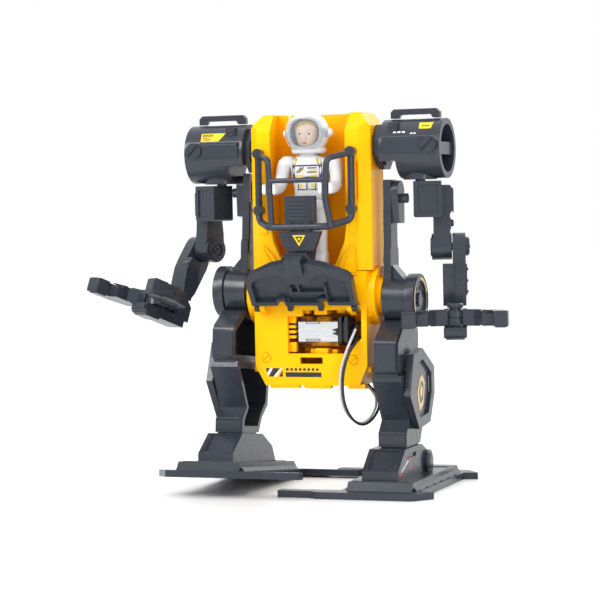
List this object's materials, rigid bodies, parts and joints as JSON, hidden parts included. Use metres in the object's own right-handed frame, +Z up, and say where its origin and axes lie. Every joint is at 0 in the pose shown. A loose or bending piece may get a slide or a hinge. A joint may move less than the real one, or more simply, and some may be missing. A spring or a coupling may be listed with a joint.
{
  "type": "walking loader toy",
  "caption": "Battery-powered two-legged walking loader toy with a caged cockpit, standing pilot, clawed arms and crank-driven legs.",
  "frame": {"origin": "on the floor, at the centre of the standing toy's footprint box", "axes": "+Z up, -Y the way the toy faces, +X the toy's left"},
  "size_m": [0.2132, 0.106, 0.183],
  "materials": {
    "yellow_plastic": "satin moulded plastic",
    "grey_plastic": "satin moulded plastic with a slight metallic fleck",
    "gear_plastic": "smooth acetal",
    "figure_white": "satin",
    "figure_skin": "painted plastic",
    "visor_plastic": "clear tinted plastic",
    "steel": "bright",
    "brass": "bright",
    "black_plastic": "satin",
    "cell_wrap": "gloss sleeve",
    "wire_white": "flexible insulation",
    "wire_black": "flexible insulation",
    "sticker_yellow": "printed film",
    "sticker_black": "printed film",
    "sticker_white": "printed film",
    "sticker_red": "printed film",
    "sticker_purple": "printed film",
    "hair_paint": "painted plastic"
  },
  "bodies": {
    "root": {"torso_shell": "yellow_plastic", "belly_housing": "yellow_plastic", "back_cover": "yellow_plastic", "battery_door": "grey_plastic", "battery_door_screw": "steel", "battery_cell_1": "cell_wrap", "battery_cell_2": "cell_wrap", "contact_plate_top": "brass", "contact_plate_bottom": "brass", "motor_can": "steel", "motor_endcap": "black_plastic", "motor_wire_white": "wire_white", "motor_wire_black": "wire_black", "hatch_pin_left": "steel", "hatch_pin_right": "steel", "cage": "grey_plastic", "console": "grey_plastic", "pod_left": "grey_plastic", "pod_right": "grey_plastic", "pod_handle_left": "grey_plastic", "pod_handle_right": "grey_plastic", "figure_body": "figure_white", "figure_head": "figure_skin", "figure_helmet": "figure_white"},
    "crank": {"crank_axle": "steel", "output_gear": "gear_plastic", "hip_cam_left": "gear_plastic", "hip_cam_right": "gear_plastic"},
    "reduction": {"compound_gear": "gear_plastic"},
    "motor_rotor": {"motor_pinion": "brass"},
    "hatch": {"hatch_cover": "grey_plastic"},
    "power_switch": {"switch_knob": "black_plastic"},
    "visor": {"figure_visor": "visor_plastic"},
    "pilot_left_arm": {"figure_arm_left": "figure_white"},
    "pilot_right_arm": {"figure_arm_right": "figure_white"},
    "left_leg": {"leg_shell_left": "grey_plastic", "hip_cap_left": "grey_plastic", "leg_panel_left": "grey_plastic", "foot_left": "grey_plastic"},
    "left_upper_arm": {"upper_arm_left": "grey_plastic"},
    "left_forearm": {"forearm_left": "grey_plastic"},
    "left_hand": {"palm_left": "grey_plastic"},
    "left_outer_jaw": {"jaw_outer_left": "grey_plastic"},
    "left_inner_jaw": {"jaw_inner_left": "grey_plastic"},
    "right_leg": {"leg_shell_right": "grey_plastic", "hip_cap_right": "grey_plastic", "leg_panel_right": "grey_plastic", "foot_right": "grey_plastic"},
    "right_upper_arm": {"upper_arm_right": "grey_plastic"},
    "right_forearm": {"forearm_right": "grey_plastic"},
    "right_hand": {"palm_right": "grey_plastic"},
    "right_outer_jaw": {"jaw_outer_right": "grey_plastic"},
    "right_inner_jaw": {"jaw_inner_right": "grey_plastic"}
  },
  "joints": [
    {"name": "crank_turn", "type": "hinge", "parent": "root", "child": "crank", "pos_m": [0.0049, 0.003, 0.0935], "axis": [1, 0, 0], "continuous": true},
    {"name": "left_hip", "type": "hinge", "parent": "crank", "child": "left_leg", "pos_m": [0.0049, 0.003, 0.0912], "axis": [1, 0, 0], "continuous": true},
    {"name": "right_hip", "type": "hinge", "parent": "crank", "child": "right_leg", "pos_m": [0.0049, 0.003, 0.0958], "axis": [1, 0, 0], "continuous": true},
    {"name": "reduction_turn", "type": "hinge", "parent": "root", "child": "reduction", "pos_m": [-0.0071, 0.00218, 0.08404], "axis": [1, 0, 0], "continuous": true},
    {"name": "motor_turn", "type": "hinge", "parent": "root", "child": "motor_rotor", "pos_m": [-0.0051, -0.0036, 0.0765], "axis": [1, 0, 0], "continuous": true},
    {"name": "hatch_hinge", "type": "hinge", "parent": "root", "child": "hatch", "pos_m": [0.0049, -0.016, 0.089], "axis": [1, 0, 0], "range_deg": [-8, 130]},
    {"name": "switch_slide", "type": "slide", "parent": "root", "child": "power_switch", "axis": [1, 0, 0], "range_m": [0, 0.004]},
    {"name": "visor_tilt", "type": "hinge", "parent": "root", "child": "visor", "pos_m": [0.0049, -0.009, 0.1724], "axis": [1, 0, 0], "range_deg": [-60, 0]},
    {"name": "pilot_left_shoulder", "type": "hinge", "parent": "root", "child": "pilot_left_arm", "pos_m": [0.0049, -0.0075, 0.1575], "axis": [1, 0, 0], "range_deg": [0, 50]},
    {"name": "pilot_right_shoulder", "type": "hinge", "parent": "root", "child": "pilot_right_arm", "pos_m": [0.0049, -0.0075, 0.1575], "axis": [1, 0, 0], "range_deg": [0, 50]},
    {"name": "left_shoulder_yaw", "type": "hinge", "parent": "root", "child": "left_upper_arm", "pos_m": [0.0564, 0.006, 0.148], "axis": [0, 0, 1], "range_deg": [-8, 25]},
    {"name": "left_elbow", "type": "hinge", "parent": "left_upper_arm", "child": "left_forearm", "pos_m": [0.0564, 0.006, 0.1165], "axis": [0.9659, 0.2588, 0], "range_deg": [-82, 3]},
    {"name": "left_wrist", "type": "hinge", "parent": "left_forearm", "child": "left_hand", "pos_m": [0.07283, 0.00652, 0.08315], "axis": [0.9659, 0.2588, 0], "range_deg": [-12, 20]},
    {"name": "left_outer_jaw_turn", "type": "hinge", "parent": "left_hand", "child": "left_outer_jaw", "pos_m": [0.07645, -0.007, 0.08315], "axis": [0, 0, 1], "range_deg": [-22, 4]},
    {"name": "left_inner_jaw_turn", "type": "hinge", "parent": "left_hand", "child": "left_inner_jaw", "pos_m": [0.07645, -0.007, 0.08315], "axis": [0, 0, 1], "range_deg": [-4, 22]},
    {"name": "right_shoulder_yaw", "type": "hinge", "parent": "root", "child": "right_upper_arm", "pos_m": [-0.0466, 0.006, 0.148], "axis": [0, 0, 1], "range_deg": [-35, 10]},
    {"name": "right_elbow", "type": "hinge", "parent": "right_upper_arm", "child": "right_forearm", "pos_m": [-0.0466, 0.006, 0.1165], "axis": [0.9063, -0.4226, 0], "range_deg": [-55, 13]},
    {"name": "right_wrist", "type": "hinge", "parent": "right_forearm", "child": "right_hand", "pos_m": [-0.06849, -0.00309, 0.08786], "axis": [0.9063, -0.4226, 0], "range_deg": [-14, 30]},
    {"name": "right_outer_jaw_turn", "type": "hinge", "parent": "right_hand", "child": "right_outer_jaw", "pos_m": [-0.07405, -0.01502, 0.09265], "axis": [0.1445, 0.31, 0.9397], "range_deg": [-8, 22]},
    {"name": "right_inner_jaw_turn", "type": "hinge", "parent": "right_hand", "child": "right_inner_jaw", "pos_m": [-0.07405, -0.01502, 0.09265], "axis": [0.1445, 0.31, 0.9397], "range_deg": [-22, 8]}
  ],
  "couplings": [
    {"joint": "left_hip", "follows": "crank_turn", "ratio": -1},
    {"joint": "right_hip", "follows": "crank_turn", "ratio": -1},
    {"joint": "reduction_turn", "follows": "crank_turn", "ratio": -2.8},
    {"joint": "motor_turn", "follows": "crank_turn", "ratio": 7.84},
    {"joint": "left_inner_jaw_turn", "follows": "left_outer_jaw_turn", "ratio": -1},
    {"joint": "right_inner_jaw_turn", "follows": "right_outer_jaw_turn", "ratio": -1}
  ]
}
